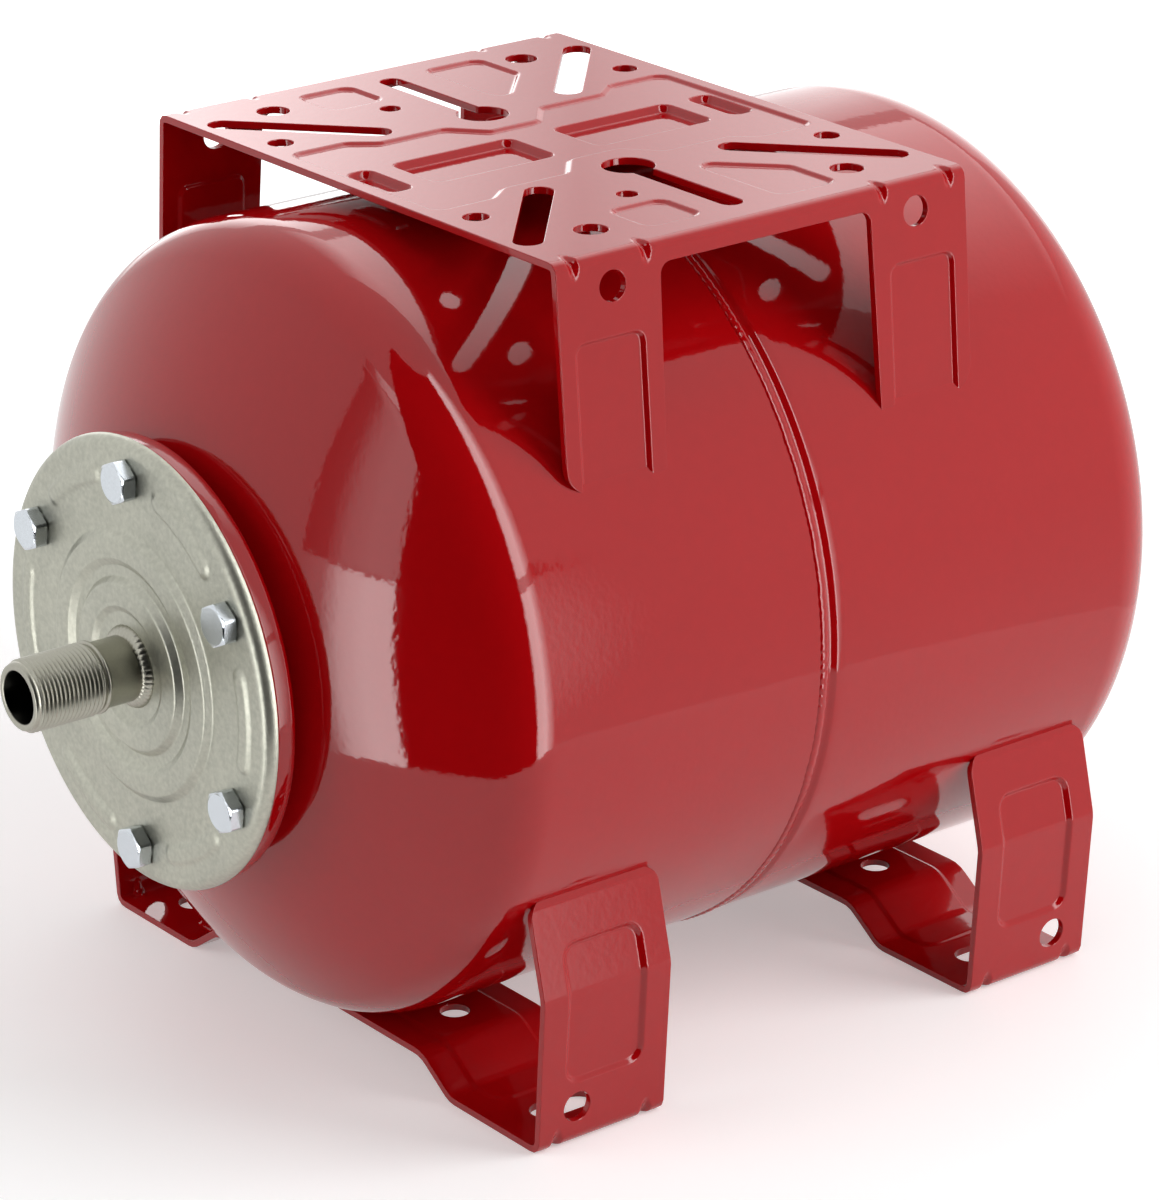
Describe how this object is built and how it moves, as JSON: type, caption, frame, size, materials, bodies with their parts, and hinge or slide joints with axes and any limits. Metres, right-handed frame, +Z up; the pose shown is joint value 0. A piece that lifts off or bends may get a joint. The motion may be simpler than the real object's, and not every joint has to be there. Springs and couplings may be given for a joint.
{
  "type": "pressure tank",
  "caption": "Horizontal diaphragm pressure tank on folded feet, with a slotted pump bracket, a bolted flange with a threaded water connection and a rear air valve.",
  "frame": {"origin": "on the floor, under the middle of the overall length, from the water connection's end to the valve cap's top", "axes": "+Z up, tank axis along Y with the water connection facing -Y and the air valve facing +Y, +X to the right seen from the flange"},
  "size_m": [0.2678, 0.4348, 0.289],
  "materials": {
    "red_paint": "high gloss red stove enamel",
    "galvanised_flange": "galvanised, slightly yellowish, soft sheen",
    "nozzle_steel": "turned steel, zinc plated",
    "bolt_zinc": "bright zinc plating",
    "bladder_rubber": "matt black rubber",
    "seal_rubber": "matt black rubber",
    "valve_brass": "turned brass",
    "spring_steel": "drawn spring wire",
    "cap_plastic": "moulded black plastic"
  },
  "bodies": {
    "tank": {"front_shell": "red_paint", "rear_shell": "red_paint", "seam_weld": "red_paint", "neck_ring": "red_paint", "neck_weld": "red_paint", "counter_flange": "galvanised_flange", "nozzle": "nozzle_steel", "nozzle_weld": "nozzle_steel", "flange_bolts": "bolt_zinc", "bladder": "bladder_rubber", "front_foot": "red_paint", "rear_foot": "red_paint", "pump_bracket": "red_paint", "valve_bush": "red_paint", "bush_weld": "red_paint", "valve_gasket": "seal_rubber", "valve_body": "valve_brass", "core_barrel": "valve_brass", "core_ring_seal": "seal_rubber", "core_spring": "spring_steel"},
    "pin": {"core_pin": "valve_brass", "core_seal": "seal_rubber"},
    "cap": {"valve_cap": "cap_plastic", "cap_gasket": "seal_rubber"}
  },
  "joints": [
    {"name": "valve_pin_press", "type": "slide", "parent": "tank", "child": "pin", "axis": [0, -1, 0], "range_m": [0, 0.0012], "stiffness_N_per_m": 1500, "springref_m": -0.001, "deforming": ["core_spring"]},
    {"name": "valve_cap_off", "type": "slide", "parent": "tank", "child": "cap", "axis": [0, 1, 0], "range_m": [0, 0.012]}
  ]
}
